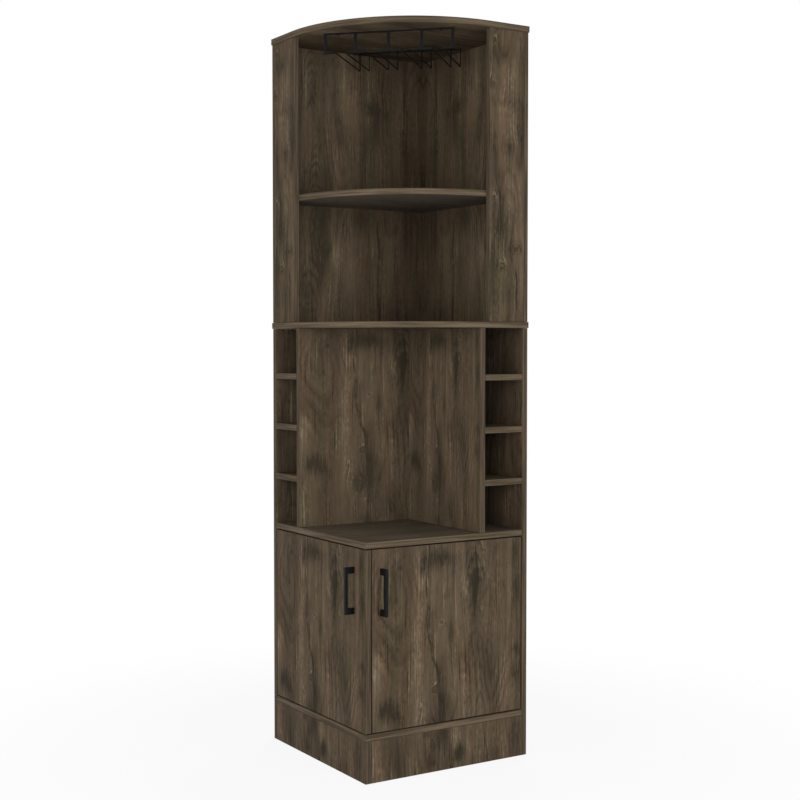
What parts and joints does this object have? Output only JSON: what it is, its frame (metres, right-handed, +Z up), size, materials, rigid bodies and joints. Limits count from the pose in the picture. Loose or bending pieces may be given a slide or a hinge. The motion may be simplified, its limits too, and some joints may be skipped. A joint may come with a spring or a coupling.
{
  "type": "corner bar cabinet",
  "caption": "Tall corner bar cabinet in dark wood boards: two inset doors on cup hinges, bottle cubbies round an open niche, curved shelves and a wire stemware rack.",
  "frame": {"origin": "middle of the bounding box on the floor, doors closed", "axes": "+Z up; the two front faces look along -X and -Y and meet at the front corner; the two wall panels stand at +X and +Y"},
  "size_m": [0.4926, 0.4926, 1.8],
  "materials": {
    "wood": "dark rustic oak print on board, matt",
    "black_metal": "matt black powder coat",
    "steel": "nickel-plated, satin",
    "rubber": "grey, matt"
  },
  "bodies": {
    "carcass": {"left_wall_panel": "wood", "right_wall_panel": "wood", "left_plinth": "wood", "right_plinth": "wood", "bottom_board": "wood", "counter_board": "wood", "left_divider": "wood", "right_divider": "wood", "left_cubby_shelf_1": "wood", "left_cubby_shelf_2": "wood", "left_cubby_shelf_3": "wood", "right_cubby_shelf_1": "wood", "right_cubby_shelf_2": "wood", "right_cubby_shelf_3": "wood", "corner_post": "wood", "left_door_stop": "rubber", "right_door_stop": "rubber", "middle_board": "wood", "top_board": "wood", "left_back": "wood", "right_back": "wood", "left_wing": "wood", "right_wing": "wood", "upper_shelf": "wood", "left_lower_hinge_arm": "steel", "left_upper_hinge_arm": "steel", "right_lower_hinge_arm": "steel", "right_upper_hinge_arm": "steel", "left_lower_hinge_plate": "steel", "left_upper_hinge_plate": "steel", "right_lower_hinge_plate": "steel", "right_upper_hinge_plate": "steel", "rack_front_frame": "black_metal", "rack_back_bar": "black_metal", "rack_left_rail": "black_metal", "rack_loop_1": "black_metal", "rack_loop_2": "black_metal", "rack_loop_3": "black_metal", "rack_right_rail": "black_metal", "rack_left_screw": "black_metal", "rack_right_screw": "black_metal", "rack_back_screw": "black_metal"},
    "left_door": {"left_door": "wood", "left_handle": "black_metal", "left_handle_lower_screw": "steel", "left_handle_upper_screw": "steel", "left_lower_hinge_cup": "steel", "left_upper_hinge_cup": "steel", "left_lower_hinge_pin": "steel", "left_upper_hinge_pin": "steel"},
    "right_door": {"right_door": "wood", "right_handle": "black_metal", "right_handle_lower_screw": "steel", "right_handle_upper_screw": "steel", "right_lower_hinge_cup": "steel", "right_upper_hinge_cup": "steel", "right_lower_hinge_pin": "steel", "right_upper_hinge_pin": "steel"}
  },
  "joints": [
    {"name": "left_door_hinge", "type": "hinge", "parent": "carcass", "child": "left_door", "pos_m": [-0.21325, 0.21275, 0.3], "axis": [0, 0, -1], "range_deg": [0, 95]},
    {"name": "right_door_hinge", "type": "hinge", "parent": "carcass", "child": "right_door", "pos_m": [0.21275, -0.21325, 0.3], "axis": [0, 0, 1], "range_deg": [0, 95]}
  ]
}
